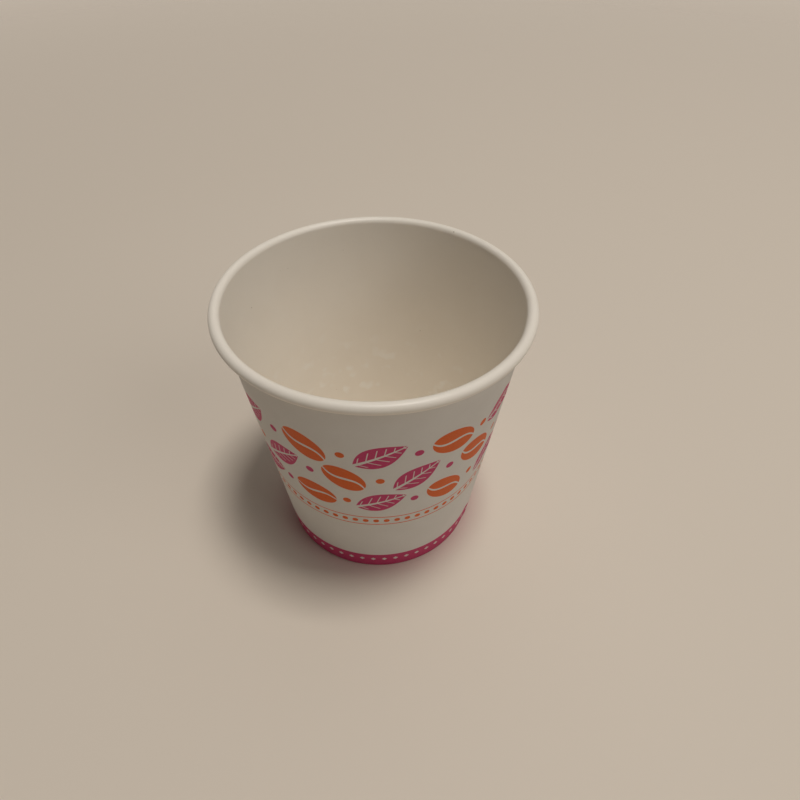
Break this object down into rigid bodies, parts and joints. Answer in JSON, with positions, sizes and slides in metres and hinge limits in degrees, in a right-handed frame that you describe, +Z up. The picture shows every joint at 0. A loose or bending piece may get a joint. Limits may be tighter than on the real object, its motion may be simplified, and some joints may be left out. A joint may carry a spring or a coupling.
{
  "type": "paper coffee cup",
  "caption": "Small single-wall paper coffee cup, a tapered wall with a rolled rim and a lap seam, and a recessed bottom held in a turned-in hem.",
  "frame": {"origin": "centre of the foot, on the surface the cup stands on", "axes": "+Z up along the cup's axis, +X towards the side seam"},
  "size_m": [0.062, 0.062, 0.061],
  "materials": {
    "printed_board": "white coated paperboard, matt outside with an orange and magenta print, thin glossy film inside",
    "base_board": "white paperboard with a thin glossy film on its upper face"
  },
  "bodies": {
    "root": {"side_wall": "printed_board", "bottom_disc": "base_board"}
  },
  "joints": []
}
